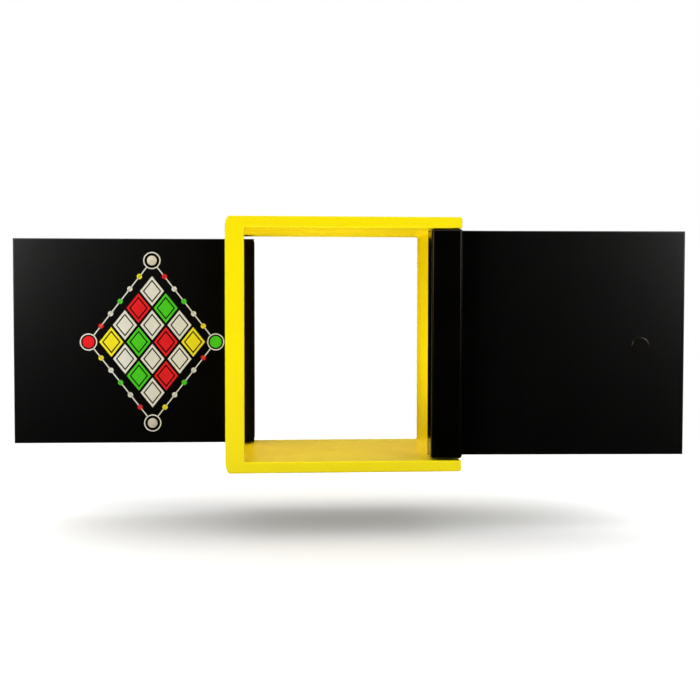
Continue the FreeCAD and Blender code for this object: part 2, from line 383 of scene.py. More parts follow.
def paint_film_group() -> bpy.types.NodeTree:
    """Unevenness of a sprayed coat: fine peel over broad waves, and slow drifts of its depth.

    Returns:
        A group that gives the film's height and its mottle.
    """
    takes = {"Vector": "Vector", "Peel": "Float", "Drift": "Float", "Wave": "Float"}
    tree, given, leave = new_group("paint_film", takes, {"Height": "Float", "Mottle": "Float"})
    mottled = (0.32, 0.68)
    peel = tree.noise(given["Vector"], given["Peel"], 2.0, 0.45)
    drift = tree.noise(given["Vector"], given["Drift"], 3.0)
    wave = tree.math("MULTIPLY", drift, given["Wave"])
    tree.link(tree.math("ADD", peel, wave), leave.inputs["Height"])
    tree.link(tree.spread(drift, *mottled), leave.inputs["Mottle"])
    return tree.tree


def edge_rub_group() -> bpy.types.NodeTree:
    """Rubbing along the edges of a block: strongest where two faces are both near.

    Returns:
        A group that gives the share of rubbed coat.
    """
    takes = {"Vector": "Vector", "Half": "Vector", "Width": "Float", "Patches": "Float"}
    tree, given, leave = new_group("edge_rub", takes, {"Rub": "Float"})
    patchy = (0.42, 0.66)
    size = tree.add("VectorMath", {0: given["Vector"]}, operation="ABSOLUTE").outputs[0]
    depth = tree.add("VectorMath", {0: given["Half"], 1: size}, operation="SUBTRACT").outputs[0]
    parts = tree.add("SeparateXYZ", {0: depth}).outputs
    low = tree.math("MINIMUM", parts[0], parts[1])
    high = tree.math("MAXIMUM", parts[0], parts[1])
    second = tree.math("MAXIMUM", low, tree.math("MINIMUM", high, parts[2]))
    near = tree.math("SUBTRACT", 1.0, tree.math("DIVIDE", second, given["Width"]), clamp=True)
    patches = tree.noise(given["Vector"], given["Patches"], 5.0, 0.7)
    rub = tree.math("MULTIPLY", near, tree.spread(patches, *patchy))
    tree.link(rub, leave.inputs["Rub"])
    return tree.tree


def worked_metal_group() -> bpy.types.NodeTree:
    """Fine marks left on metal by tumbling or grinding.

    Returns:
        A group that gives the height of the marks and a cloudiness for the roughness.
    """
    takes = {"Vector": "Vector", "Marks": "Float"}
    tree, given, leave = new_group("worked_metal", takes, {"Height": "Float", "Cloud": "Float"})
    coarser, cloudy = 0.12, (0.3, 0.7)
    marks = tree.noise(given["Vector"], given["Marks"], 6.0, 0.75)
    cloud = tree.noise(given["Vector"], tree.math("MULTIPLY", given["Marks"], coarser), 3.0)
    tree.link(marks, leave.inputs["Height"])
    tree.link(tree.spread(cloud, *cloudy), leave.inputs["Cloud"])
    return tree.tree


PAINT_FILM = paint_film_group()
EDGE_RUB = edge_rub_group()
WORKED_METAL = worked_metal_group()


@dataclass(frozen=True)
class Stand:
    """Where a piece's own middle is and how it is turned, so that a pattern lies square on it."""

    middle: Vector = Vector((0, 0, 0))
    turn: float = 0.0
    half: Vector = Vector((1, 1, 1))


def start_material(name: str) -> tuple[Tree, bpy.types.Material]:
    """Makes an empty node material.

    Args:
        name: Name of the material.

    Returns:
        Its tree and the material.
    """
    material = bpy.data.materials.new(name)
    material.use_nodes = True
    return Tree(material.node_tree), material


def own_place(tree: Tree, stand: Stand) -> Socket:
    """Object coordinates measured from a piece's middle, along its own sides.

    Args:
        tree: Tree of the material.
        stand: The piece's middle and turn.

    Returns:
        The coordinates.
    """
    source = tree.add("TexCoord").outputs["Object"]
    inputs = {"Vector": source, "Location": stand.middle, "Rotation": (0.0, 0.0, stand.turn)}
    return tree.add("Mapping", inputs, vector_type="TEXTURE").outputs[0]


def finish_material(tree: Tree, inputs: Inputs) -> None:
    """Adds the surface shader and the output.

    Args:
        tree: Tree of the material.
        inputs: Value or linked socket per input of the shader.
    """
    shader = tree.add("BsdfPrincipled", inputs)
    tree.add("OutputMaterial", {"Surface": shader.outputs[0]})


@dataclass(frozen=True, kw_only=True)
class Sprayed:
    """What all coats share: an uneven film, which sets how rough and how level the surface is."""

    roughness: tuple[float, float] = (0.45, 0.58)
    peel: float = 900.0
    drift: float = 70.0
    wave: float = 0.5
    relief: float = 0.00001
    strength: float = 0.5
    gloss: float = 0.25

    def film(self, tree: Tree, place: Socket) -> tuple[Socket, dict[str, object]]:
        """Lays the film.

        Args:
            tree: Tree of the material.
            place: Coordinates on the piece.

        Returns:
            The film's mottle, and the inputs of the shader that the film sets.
        """
        layers = {"Vector": place, "Peel": self.peel, "Drift": self.drift, "Wave": self.wave}
        film = tree.place(PAINT_FILM, layers).outputs
        return film["Mottle"], {
            "Roughness": tree.spread(film["Mottle"], 0.0, 1.0, *self.roughness),
            "Specular IOR Level": self.gloss,
            "Normal": tree.bump(film["Height"], self.relief, self.strength),
        }


@dataclass(frozen=True)
class Enamel(Sprayed):
    """Glossy enamel over sealed board, with a painted highlight (a lighter colour) on eased edges and painted
    shade (a darker, more orange colour) in inner corners.
    """

    colour: Colour = (0.97, 0.80, 0.0008)
    # Darker tone, used both for the random mottle and for the painted shade in inner corners.
    deep_and_corner_shade: Colour = (0.95, 0.74, 0.0006)
    # Lighter colour of the painted highlight on eased edges.
    edge_highlight: Colour = (0.98, 0.84, 0.004)
    mottle: float = 0.5
    # How much of the painted edge highlight shows.
    edge_highlight_share: float = 0.8
    roughness: tuple[float, float] = (0.28, 0.34)
    peel: float = 420.0
    drift: float = 26.0
    wave: float = 1.0
    relief: float = 0.00002
    strength: float = 0.6
    gloss: float = 0.2

    def material(self, name: str) -> bpy.types.Material:
        """Makes the enamel of the frame, which reads its mesh's own easing attribute to place the painted
        edge highlight and the painted corner shade.

        Args:
            name: Name of the material.

        Returns:
            The material.
        """
        tree, material = start_material(name)
        mottle, surface = self.film(tree, own_place(tree, Stand()))
        easing = tree.add("Attribute", attribute_name=PaintedFrame.EASING).outputs["Fac"]
        coat = tree.blend(tree.math("MULTIPLY", mottle, self.mottle), self.colour, self.deep_and_corner_shade)
        # Painted highlight: eased (convex) edges get a lighter colour.
        coat = tree.blend(tree.math("MULTIPLY", easing, self.edge_highlight_share, clamp=True), coat, self.edge_highlight)
        # Painted shade: inner (concave) corners get a darker, more orange colour.
        coat = tree.blend(tree.math("MULTIPLY", easing, -1.0, clamp=True), coat, self.deep_and_corner_shade)
        finish_material(tree, {"Base Color": coat, **surface})
        return material


@dataclass(frozen=True)
class Lacquer(Sprayed):
    """Satin black lacquer, rubbed brown along its edges, and on a door polished by hands far from the bar."""

    colour: Colour = (0.0005, 0.0004, 0.0003)
    drifted: Colour = (0.0009, 0.0007, 0.0005)
    rubbed: Colour = (0.012, 0.010, 0.008)
    rub_width: float = 0.0012
    rub_patches: float = 140.0
    sheen_tint: Colour = (1.0, 0.88, 0.72)
    polished: Optional[tuple[float, float]] = None
    polish_index: float = 1.7
    polish_roughness: float = 0.2
    roughness: tuple[float, float] = (0.195, 0.21)
    peel: float = 520.0
    drift: float = 34.0
    wave: float = 0.0
    relief: float = 0.000003
    gloss: float = 0.9

    def material(self, name: str, stand: Stand) -> bpy.types.Material:
        """Makes the lacquer of one block-shaped piece.

        Args:
            name: Name of the material.
            stand: The piece's middle, turn and half sizes.

        Returns:
            The material.
        """
        tree, material = start_material(name)
        place = own_place(tree, stand)
        mottle, surface = self.film(tree, place)
        wear = {"Vector": place, "Half": stand.half, "Width": self.rub_width, "Patches": self.rub_patches}
        coat = tree.blend(mottle, self.colour, self.drifted)
        coat = tree.blend(tree.place(EDGE_RUB, wear).outputs["Rub"], coat, self.rubbed)
        surface["Specular Tint"] = (*self.sheen_tint, 1.0)
        if self.polished:
            along = tree.math("ADD", tree.add("SeparateXYZ", {0: place}).outputs[0], stand.half.x)
            surface["Coat Weight"] = tree.spread(along, *self.polished)
            surface["Coat Roughness"], surface["Coat IOR"] = self.polish_roughness, self.polish_index
        finish_material(tree, {"Base Color": coat, **surface})
        return material


@dataclass(frozen=True)
class Metal:
    """Plated or ground metal with fine marks and a cloudy shine."""

    colour: Colour
    dull: Colour
    roughness: tuple[float, float]
    metallic: float = 1.0
    marks: float = 2600.0
    relief: float = 0.00001
    strength: float = 0.4

    def material(self, name: str) -> bpy.types.Material:
        """Makes the metal.

        Args:
            name: Name of the material.

        Returns:
            The material.
        """
        tree, material = start_material(name)
        work = tree.place(WORKED_METAL, {"Vector": own_place(tree, Stand()), "Marks": self.marks})
        finish_material(
            tree,
            {
                "Base Color": tree.blend(work.outputs["Cloud"], self.colour, self.dull),
                "Metallic": self.metallic,
                "Roughness": tree.spread(work.outputs["Cloud"], 0.0, 1.0, *self.roughness),
                "Normal": tree.bump(work.outputs["Height"], self.relief, self.strength),
            },
        )
        return material


@dataclass(frozen=True)
class Coating(Sprayed):
    """Plain coloured surface with a fine tooth: printing ink or nylon."""

    colour: Colour
    drifted: Colour

    def material(self, name: str) -> bpy.types.Material:
        """Makes the surface.

        Args:
            name: Name of the material.

        Returns:
            The material.
        """
        tree, material = start_material(name)
        mottle, surface = self.film(tree, own_place(tree, Stand()))
        finish_material(tree, {"Base Color": tree.blend(mottle, self.colour, self.drifted), **surface})
        return material


@dataclass(frozen=True)
class Timber:
    """Straight-grained beech, seen only on the hidden tongues."""

    pale: Colour = (0.62, 0.42, 0.24)
    dark: Colour = (0.44, 0.27, 0.14)
    grain: float = 260.0
    stretch: tuple[float, float, float] = (1.0, 0.06, 1.0)
    streaks: tuple[float, float] = (0.35, 0.65)
    relief: float = 0.00004
    strength: float = 0.4
    roughness: float = 0.7

    def material(self, name: str) -> bpy.types.Material:
        """Makes the timber, with its grain along y.

        Args:
            name: Name of the material.

        Returns:
            The material.
        """
        tree, material = start_material(name)
        source = tree.add("TexCoord").outputs["Object"]
        along = tree.add("Mapping", {"Vector": source, "Scale": self.stretch}).outputs[0]
        grain = tree.noise(along, self.grain, 6.0, 0.65)
        bump = tree.bump(grain, self.relief, self.strength)
        coat = tree.blend(tree.spread(grain, *self.streaks), self.pale, self.dark)
        finish_material(tree, {"Base Color": coat, "Roughness": self.roughness, "Normal": bump})
        return material


class Ink(Enum):
    """Screen inks of the printed motif."""

    WHITE = Coating((0.84, 0.82, 0.73), (0.79, 0.77, 0.68))
    RED = Coating((0.88, 0.002, 0.005), (0.80, 0.002, 0.004))
    GREEN = Coating((0.07, 0.70, 0.004), (0.06, 0.63, 0.003))
    YELLOW = Coating((0.96, 0.84, 0.002), (0.92, 0.78, 0.002))


NICKEL = Metal((0.90, 0.83, 0.68), (0.80, 0.72, 0.56), (0.46, 0.58), 0.35)
STEEL = Metal((0.60, 0.60, 0.60), (0.46, 0.45, 0.44), (0.28, 0.44))
NYLON = Coating((0.012, 0.012, 0.012), (0.020, 0.019, 0.018), roughness=(0.55, 0.68))
DISC_LACQUER = Lacquer()
BAR_LACQUER = Lacquer(gloss=0.3)
PANEL_LACQUER = Lacquer(gloss=0.08, polished=(8.0 * MM, 70.0 * MM))


def dress(item: bpy.types.Object, material: bpy.types.Material) -> None:
    """Gives an object its material, in its first slot."""
    if not item.material_slots:
        item.data.materials.append(None)
    item.material_slots[0].material = material


def dress_node(node: str, material: bpy.types.Material) -> None:
    """Gives a solid of the frame its material and reports it."""
    dress(frame["nodes"][node], material)
    log.info("dressed %s with %s", node, material.name)


def settle_piece(item: bpy.types.Object, body: str, slot: Optional[str], *nodes: str) -> None:
    """Puts a finished piece on its body, in place of the solids that it stands for.

    Args:
        item: The piece.
        body: Body that it moves with.
        slot: Material slot of the record, if it has one; not used.
        nodes: Solids that it stands for.
    """
    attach(item, body)
    if nodes:
        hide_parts(*nodes)
    log.info("built %s on %s: %d faces", item.name, body, len(item.data.polygons))


# The object

@dataclass
class PaintedFrame:
    """Two boards and two short walls under one unbroken coat of enamel, with no seam left to see."""

    edge_radius: float = 1.2 * MM
    sanded_corner: tuple[float, float] = (3.5 * MM, 10.0 * MM)
    free_corner: tuple[float, float] = (2.0 * MM, 2.0 * MM)
    fillet: float = 1.6 * MM
    housing: float = 5.0 * MM
    fade: float = 12.0 * MM
    span: float = 11.0 * MM
    easing_depth: float = 0.3 * MM
    near_edge: tuple[float, ...] = (0.0, 0.15, 0.35, 0.6, 0.9, 1.3, 1.8, 2.5, 3.5, 5.0, 7.0, 8.8, 10.4)

    BOARDS = ("bottom_board", "top_board")
    WALLS = ("left_wall", "right_wall")
    EASING = "easing"

    def __post_init__(self) -> None:
        """Reads the blocks' corners from the frame."""
        nodes = self.BOARDS + self.WALLS
        boxes = {node: np.array([tuple(corner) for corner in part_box(node)]) for node in nodes}
        self.boards = [boxes[node] for node in self.BOARDS]
        reach = np.array([[0, 0, -self.housing], [0, 0, self.housing]])
        self.walls = [boxes[node] for node in self.WALLS]
        self.housed_walls = [wall + reach for wall in self.walls]
        self.low = np.min([board[0] for board in self.boards], axis=0)
        self.high = np.max([board[1] for board in self.boards], axis=0)

    def grid_lines(self, axis: int) -> np.ndarray:
        """Grid lines of one axis: close together at the blocks' faces and evenly spread between them.

        Args:
            axis: Number of the axis.

        Returns:
            Rising places of the lines.
        """
        faces = np.unique(np.round([block[:, axis] for block in self.boards + self.walls], 6))
        offsets = np.array(self.near_edge) * MM
        close = (faces[:, None] + np.concatenate([-offsets, offsets])).ravel()
        wide = np.linspace(faces[0], faces[-1], int((faces[-1] - faces[0]) / self.span) + 2)
        wide = wide[np.abs(wide[:, None] - faces).min(axis=1) > offsets[-1] + self.span / 4]
        lines = np.unique(np.round(np.concatenate([close, wide]), 6))
        return lines[(lines >= faces[0]) & (lines <= faces[-1])]

    def outline(self, points: np.ndarray) -> np.ndarray:
        """Distance from the whole frame's outer form: its outer corners are sanded round where a wall stands.

        Args:
            points: Places to measure.

        Returns:
            Distance per point, negative inside.
        """
        middle, half = (self.low + self.high) / 2, (self.high - self.low) / 2
        wall_end = self.walls[0][1, 1]
        along = np.clip((-np.sign(points[:, 0]) * points[:, 1] - wall_end) / self.fade, 0, 1)
        free = (along * along * (3 - 2 * along))[:, None]
        radii = np.array(self.sanded_corner) * (1 - free) + np.array(self.free_corner) * free
        beyond = np.abs(points - middle) - half
        sides = beyond[:, [0, 2]]
        corner = 1 + sides / radii
        curve = (np.linalg.norm(np.maximum(corner, 0), axis=-1) - 1) * radii[:, 0]
        section = np.where(corner.min(axis=-1) > 0, curve, sides.max(axis=-1))
        ends = np.stack([section, beyond[:, 1]], axis=-1) + self.edge_radius
        past = np.linalg.norm(np.maximum(ends, 0), axis=-1)
        return past + np.minimum(ends.max(axis=-1), 0) - self.edge_radius

    def distance(self, points: np.ndarray) -> np.ndarray:
        """Distance from the coat: the blocks joined by fillets, kept within the outer form.

        Args:
            points: Places to measure.

        Returns:
            Distance per point, negative inside.
        """
        joined = np.full(len(points), 1.0)
        for low, high in self.boards + self.housed_walls:
            joined = filleted_union(joined, eased_block(points, low, high, self.edge_radius), self.fillet)
        return np.maximum(joined, self.outline(points))

    def build(self) -> None:
        """Marks the blocks on a grid, skins them and slides the skin onto the eased form."""
        lines = [self.grid_lines(axis) for axis in range(3)]
        middles = np.meshgrid(*[(line[1:] + line[:-1]) / 2 for line in lines], indexing="ij")
        cells = np.stack(middles, axis=-1)
        blocks = self.boards + self.walls
        full = np.any([np.all((cells > low) & (cells < high), axis=-1) for low, high in blocks], axis=0)
        sharp = block_skin(lines, full)
        skin = Shell(settle(sharp.points, self.distance), sharp.faces)
        item = skin.make_object("painted_frame")
        # How far each point was eased; the enamel uses it for a painted highlight on edges and painted shade
        # in inner corners.
        easing = item.data.attributes.new(self.EASING, "FLOAT", "POINT")
        moved = np.clip(self.distance(sharp.points) / self.easing_depth, -1, 1)
        easing.data.foreach_set("value", moved.astype(np.float32))
        dress(item, Enamel().material("yellow_enamel"))
        plugs = [f"{wall}_plug" for wall in self.WALLS]
        settle_piece(item, "frame", "yellow_enamel", *self.BOARDS, *self.WALLS, *plugs)

    def dress_hidden(self) -> None:
        """Finishes the pieces inside the joints and the walls."""
        timber, steel = Timber().material("bare_wood"), STEEL.material("keeper_steel")
        for wall in self.WALLS:
            dress_node(f"{wall}_tongues", timber)
            dress_node(f"{wall}_keeper", steel)


@dataclass
class SwingDoor:
    """Panel glued to a square bar that turns on two pins and stands on a nylon washer."""

    name: str
    joint: str
    turn: float
    bar_half: float = 12.6 * MM
    panel_half: float = 3.0 * MM
    free_edge: float = 198.8 * MM
    washer_ease: float = 0.35 * MM
    washer_bore: float = 3.2 * MM
    disc_across: float = 162.8 * MM
    disc_height: float = 100.0 * MM
    disc_radius: float = 7.5 * MM
    disc_depth: float = 3.0 * MM
    disc_ease: float = 0.7 * MM
    disc_flat: float = 6.4 * MM
    disc_core: float = 0.2 * MM
    round_steps: int = 96

    def __post_init__(self) -> None:
        """Reads the pivot from the joint and the heights from the panel."""
        joint = next(joint for joint in frame["joints"] if joint["name"] == self.joint)
        self.pivot = Vector((joint["pos_m"][0], joint["pos_m"][1], 0.0))
        self.swing = Quaternion((0, 0, 1), math.radians(self.turn))
        self.body = f"{self.name}_door"
        low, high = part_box(f"{self.name}_door_panel")
        self.middle_height, self.half_height = (low.z + high.z) / 2, (high.z - low.z) / 2

    def to_world(self, points: np.ndarray) -> np.ndarray:
        """Carries points from the door's own frame, round its pivot, to the object's frame."""
        return points @ np.array(self.swing.to_matrix()).T + np.array(self.pivot)

    def stand(self, middle: tuple[float, float], half: tuple[float, float]) -> Stand:
        """Place and size of one of the door's blocks.

        Args:
            middle: Middle of its plan, in the door's own frame.
            half: Half its length and half its thickness.

        Returns:
            The stand for its finish.
        """
        centre = self.pivot + self.swing @ Vector((*middle, self.middle_height))
        return Stand(centre, math.radians(self.turn), Vector((*half, self.half_height)))

    def dress_blocks(self) -> None:
        """Lacquers the bar and the panel, and finishes the pins."""
        bar = self.stand((0.0, 0.0), (self.bar_half, self.bar_half))
        dress_node(f"{self.name}_pivot_bar", BAR_LACQUER.material(f"{self.name}_bar_lacquer", bar))
        panel_middle = ((self.free_edge - self.bar_half) / 2, self.bar_half + self.panel_half)
        panel = self.stand(panel_middle, ((self.free_edge + self.bar_half) / 2, self.panel_half))
        lacquer = PANEL_LACQUER.material(f"{self.name}_panel_lacquer", panel)
        dress_node(f"{self.name}_door_panel", lacquer)
        steel = STEEL.material(f"{self.name}_pin_steel")
        for end in ("lower", "upper"):
            dress_node(f"{self.name}_{end}_pin", steel)

    def build_disc(self) -> None:
        """Turns the catch disc: flush with the panel's inner face, round-rimmed, its axis along the depth."""
        node = f"{self.name}_catch_disc"
        face, back = self.bar_half, self.bar_half + self.disc_depth
        flat = [[self.disc_core, face], [self.disc_flat, face]]
        rim = arc((self.disc_radius - self.disc_ease, face + self.disc_ease), self.disc_ease, -90, 0, 8)
        side = [[self.disc_radius, back], [self.disc_core, back]]
        shell, caps = revolve(np.concatenate([flat, rim, side]), self.round_steps, looped=False)
        local = shell.points[:, [0, 2, 1]] + np.array([self.disc_across, 0.0, self.disc_height])
        item = Shell(self.to_world(local), shell.faces).make_object(f"{node}_turned", caps)
        centre = self.pivot + self.swing @ Vector((self.disc_across, face, self.disc_height))
        stand = Stand(centre, math.radians(self.turn))
        dress(item, DISC_LACQUER.material(f"{self.name}_disc_lacquer", stand))
        settle_piece(item, self.body, "black_magnet", node)

    def build_washer(self) -> None:
        """Turns the nylon washer: a flat ring with eased edges, its section carried round the pivot."""
        node = f"{self.name}_washer"
        low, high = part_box(node)
        ring = ring_section(self.washer_bore, (high.x - low.x) / 2, low.z, high.z, self.washer_ease)
        shell, _ = revolve(ring, self.round_steps, looped=True)
        item = Shell(shell.points + np.array(self.pivot), shell.faces).make_object(f"{node}_ring")
        dress(item, NYLON.material(f"{self.name}_washer_nylon"))
        settle_piece(item, "frame", "black_nylon", node)


def ring_section(bore: float, rim: float, low: float, high: float, ease: float) -> np.ndarray:
    """Closed section of a flat ring with eased edges.

    Args:
        bore: Inner radius.
        rim: Outer radius.
        low: Height of the lower face.
        high: Height of the upper face.
        ease: Radius of the edges.

    Returns:
        Radius and height per point.
    """
    corners = (
        ((rim - ease, high - ease), 90, 0),
        ((rim - ease, low + ease), 0, -90),
        ((bore + ease, low + ease), -90, -180),
        ((bore + ease, high - ease), 180, 90),
    )
    return np.concatenate([arc(centre, ease, start, end, 6) for centre, start, end in corners])


@dataclass
class Rivets:
    """Two flat-headed rivets through the back door, each set over a washer on the inner face."""

    door: SwingDoor
    across: float = 77.4 * MM
    head: float = 4.3 * MM
    head_rise: float = 1.0 * MM
    rim: float = 0.4 * MM
    crown: float = 0.3 * MM
    shank: float = 2.0 * MM
    tail: float = 2.8 * MM
    tail_rise: float = 0.8 * MM
    dimple: float = 1.2 * MM
    washer: float = 4.5 * MM
    washer_rise: float = 0.8 * MM
    ease: float = 0.25 * MM
    core: float = 0.1 * MM
    clearance: float = 0.05 * MM
    round_steps: int = 72

    NODES = ("upper_rivet", "lower_rivet")

    def profile(self) -> np.ndarray:
        """Section of a rivet from its head's crown to its tail's dimple, with heights along the door's depth.

        Returns:
            Radius and height per point.
        """
        face = self.door.bar_half + 2 * self.door.panel_half
        seat = self.door.bar_half - self.washer_rise
        flat = np.linspace(self.core, self.head - self.rim, 8)
        top = face + self.head_rise - self.crown * (flat / (self.head - self.rim)) ** 2
        rim = arc((self.head - self.rim, top[-1] - self.rim), self.rim, 90, 0, 10)
        under = np.array([[self.head, face], [self.shank, face], [self.shank, seat], [self.tail, seat]])
        foot = arc((self.tail - self.ease, seat - self.tail_rise + self.ease), self.ease, 0, -90, 6)
        dimple = arc((0.0, seat - self.tail_rise), self.dimple, 0, 80, 8)
        return np.concatenate([np.stack([flat, top], -1), rim[1:], under, foot, dimple])

    def build(self) -> None:
        """Turns both rivets and their washers, and lays their axes through the panel."""
        nickel = NICKEL.material("warm_nickel")
        seat = self.door.bar_half
        bore = self.shank + self.clearance
        ring = ring_section(bore, self.washer, seat - self.washer_rise, seat, self.ease)
        for node in self.NODES:
            low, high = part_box(node)
            centre = np.array([self.across, 0.0, (low.z + high.z) / 2])
            for name, section, looped in ((node, self.profile(), False), (f"{node}_washer", ring, True)):
                shell, caps = revolve(section, self.round_steps, looped)
                local = shell.points[:, [0, 2, 1]] + centre
                item = Shell(self.door.to_world(local), shell.faces).make_object(f"{name}_turned", caps)
                dress(item, nickel)
                settle_piece(item, self.door.body, "nickel", name)


@dataclass(frozen=True)
class Patch:
    """One printed shape: its outline and, where it is hollow, its inner line, in the plane of the panel."""

    outer: np.ndarray
    inner: Optional[np.ndarray] = None


@dataclass
class LozengePrint:
    """Screen print on the back door: rows of lozenges in a diamond, with beads, rings and balls round it."""

    door: SwingDoor
    middle: tuple[float, float] = (77.4 * MM, 100.05 * MM)
    half_width: float = 12.0 * MM
    half_height: float = 15.0 * MM
    rows: int = 4
    gap: float = 1.1 * MM
    band: float = 1.9 * MM
    line: float = 1.0 * MM
    tip: tuple[float, float] = (56.0 * MM, 72.05 * MM)
    ring: float = 7.6 * MM
    ball: float = 5.2 * MM
    bead: float = 2.3 * MM
    thickness: float = 0.03 * MM
    sink: float = 0.03 * MM
    bead_span: tuple[float, float] = (0.14, 0.86)
    round_steps: int = 64

    COLOURED = ((Ink.RED, Ink.GREEN), (Ink.YELLOW, Ink.RED, Ink.GREEN, Ink.YELLOW), (Ink.GREEN, Ink.RED))
    BEADS = (Ink.RED, Ink.WHITE, Ink.GREEN, Ink.WHITE, Ink.YELLOW)

    def lozenge(self, centre: np.ndarray, shrink: float) -> np.ndarray:
        """Outline of one lozenge, drawn in by an even margin.

        Args:
            centre: Its middle.
            shrink: Margin, measured square to its sides.

        Returns:
            Four corners.
        """
        side = math.hypot(self.half_width, self.half_height)
        share = 1 - shrink * side / (self.half_width * self.half_height)
        corners = np.array([[1, 0], [0, 1], [-1, 0], [0, -1]]) * (self.half_width, self.half_height)
        return centre + corners * share

    def disc(self, centre: np.ndarray, radius: float) -> np.ndarray:
        """Outline of a round spot."""
        return arc((centre[0], centre[1]), radius, 0, 360 - 360 / self.round_steps, self.round_steps)

    def field(self) -> list[tuple[Ink, Patch]]:
        """Lozenges of the diamond: white rows and coloured rows by turns, each lozenge a rim and a core.

        Returns:
            Ink and shape of each patch.
        """
        patches = []
        coloured = iter(self.COLOURED)
        for row in range(2 * self.rows - 1):
            count = self.rows - abs(row - self.rows + 1)
            inks = next(coloured) if row % 2 else (Ink.WHITE,) * count
            for place, ink in enumerate(inks):
                offset = ((2 * place - count + 1) * self.half_width, (row - self.rows + 1) * self.half_height)
                centre = np.array(offset)
                rim = self.lozenge(centre, self.gap), self.lozenge(centre, self.gap + self.band)
                patches.append((ink, Patch(*rim)))
                patches.append((ink, Patch(self.lozenge(centre, 2 * self.gap + self.band))))
        return patches

    def border(self) -> list[tuple[Ink, Patch]]:
        """Border: rings at the four tips, lines between them, beads on the lines and a ball at either side.

        Returns:
            Ink and shape of each patch.
        """
        tips = np.array([[1, 0], [0, 1], [-1, 0], [0, -1]]) * self.tip
        inset = self.ring - self.line / 2
        patches = []
        for tip, following in zip(tips, np.roll(tips, -1, axis=0)):
            ring = self.disc(tip, self.ring), self.disc(tip, self.ring - self.line)
            patches.append((Ink.WHITE, Patch(*ring)))
            way = (following - tip) / np.linalg.norm(following - tip)
            side = np.array([way[1], -way[0]]) * self.line / 2
            start, end = tip + way * inset, following - way * inset
            line = np.array([start + side, end + side, end - side, start - side])
            patches.append((Ink.WHITE, Patch(line)))
            for share, ink in zip(np.linspace(*self.bead_span, len(self.BEADS)), self.BEADS):
                patches.append((ink, Patch(self.disc(start + (end - start) * share, self.bead))))
        patches.append((Ink.RED, Patch(self.disc(tips[0], self.ball))))
        patches.append((Ink.GREEN, Patch(self.disc(tips[2], self.ball))))
        return patches

    def raised(self, patch: Patch, first: int) -> tuple[np.ndarray, list[list[int]]]:
        """Closed film of ink under one shape: its outline at two depths, faces between them.

        Args:
            patch: The shape.
            first: Number of its first point in the mesh.

        Returns:
            Points in the door's own frame, and faces.
        """
        face = self.door.bar_half + 2 * self.door.panel_half
        loops = [patch.outer] if patch.inner is None else [patch.outer, patch.inner]
        count = len(patch.outer)
        points, rings = [], []
        for loop in loops:
            for depth in (face + self.thickness, face - self.sink):
                placed = loop + np.array(self.middle)
                points.append(np.stack([placed[:, 0], np.full(count, depth), placed[:, 1]], axis=-1))
                rings.append(first + len(rings) * count + np.arange(count))

        def wall(one: np.ndarray, other: np.ndarray) -> list[list[int]]:
            """Faces between two rings of points."""
            return np.stack([one, np.roll(one, -1), np.roll(other, -1), other], axis=-1).tolist()

        faces = wall(rings[0], rings[1])
        if patch.inner is None:
            faces += [rings[0].tolist(), rings[1].tolist()]
        else:
            faces += wall(rings[2], rings[3]) + wall(rings[0], rings[2]) + wall(rings[1], rings[3])
        return np.concatenate(points), faces

    def build(self) -> None:
        """Prints each ink as one piece on the back door."""
        patches = self.field() + self.border()
        for ink in Ink:
            points, faces = np.empty((0, 3)), []
            for patch in (patch for colour, patch in patches if colour is ink):
                more, round_them = self.raised(patch, len(points))
                points = np.concatenate([points, more])
                faces += round_them
            name = f"print_{ink.name.lower()}"
            mesh = bpy.data.meshes.new(name)
            mesh.from_pydata(self.door.to_world(points).tolist(), [], faces)
            item = link_mesh(name, mesh)
            dress(item, ink.value.material(f"{name}_ink"))
            settle_piece(item, self.door.body, None)


# The studio

@dataclass(frozen=True)
class Softbox:
    """Rectangular lamp with the angle of its beam, shown or not shown by mirror reflections."""

    name: str
    place: tuple[float, float, float]
    size: tuple[float, float]
    power: float
    aim: tuple[float, float, float] = (0.0, 0.0, 0.1)
    mirrored: bool = True
    beam: float = math.pi

    def hang(self) -> bpy.types.Object:
        """Adds the lamp to the scene, out of the camera's sight.

        Returns:
            The lamp.
        """
        lamp = bpy.data.lights.new(self.name, "AREA")
        lamp.shape = "RECTANGLE"
        lamp.size, lamp.size_y = self.size
        lamp.energy = self.power
        lamp.spread = self.beam
        item = bpy.data.objects.new(self.name, lamp)
        item.location = self.place
        item.rotation_mode = "QUATERNION"
        item.rotation_quaternion = (Vector(self.aim) - Vector(self.place)).to_track_quat("-Z", "Y")
        item.visible_camera = False
        item.visible_glossy = self.mirrored
        bpy.context.scene.collection.objects.link(item)
        return item


